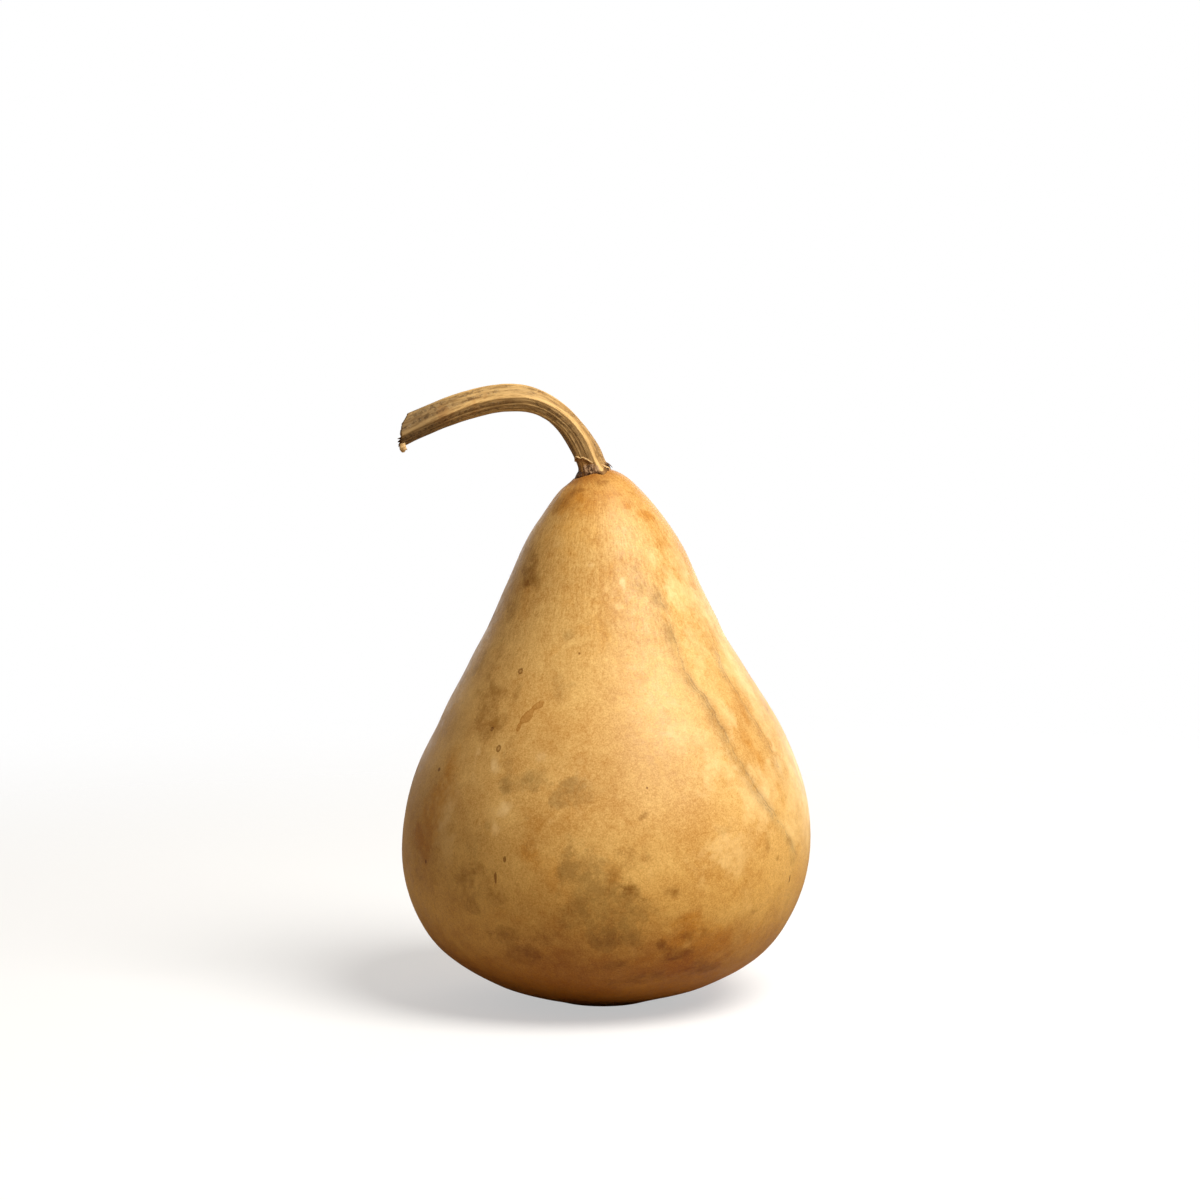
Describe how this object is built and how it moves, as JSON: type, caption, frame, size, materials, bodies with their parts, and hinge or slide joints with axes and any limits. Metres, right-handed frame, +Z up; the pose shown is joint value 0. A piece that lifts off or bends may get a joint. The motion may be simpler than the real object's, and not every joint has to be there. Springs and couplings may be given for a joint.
{
  "type": "dried bottle gourd",
  "caption": "Pear-shaped dried bottle gourd standing on its flattened base, with a ridged, arching dry stem cut on the slant.",
  "frame": {"origin": "on the ground, in the middle of the whole outline seen from above, under the middle of the belly", "axes": "+Z up from the flattened blossom end to the stem; the stem arches over towards -X; -Y is the front"},
  "size_m": [0.1452, 0.1422, 0.2173],
  "materials": {
    "gourd_skin": "smooth, satin, mottled honey tan with brown and grey-green stains",
    "dry_stem": "dry, matt, ridged and finely fibrous straw brown with grey grooves"
  },
  "bodies": {
    "root": {"gourd_body": "gourd_skin", "stem": "dry_stem"}
  },
  "joints": []
}
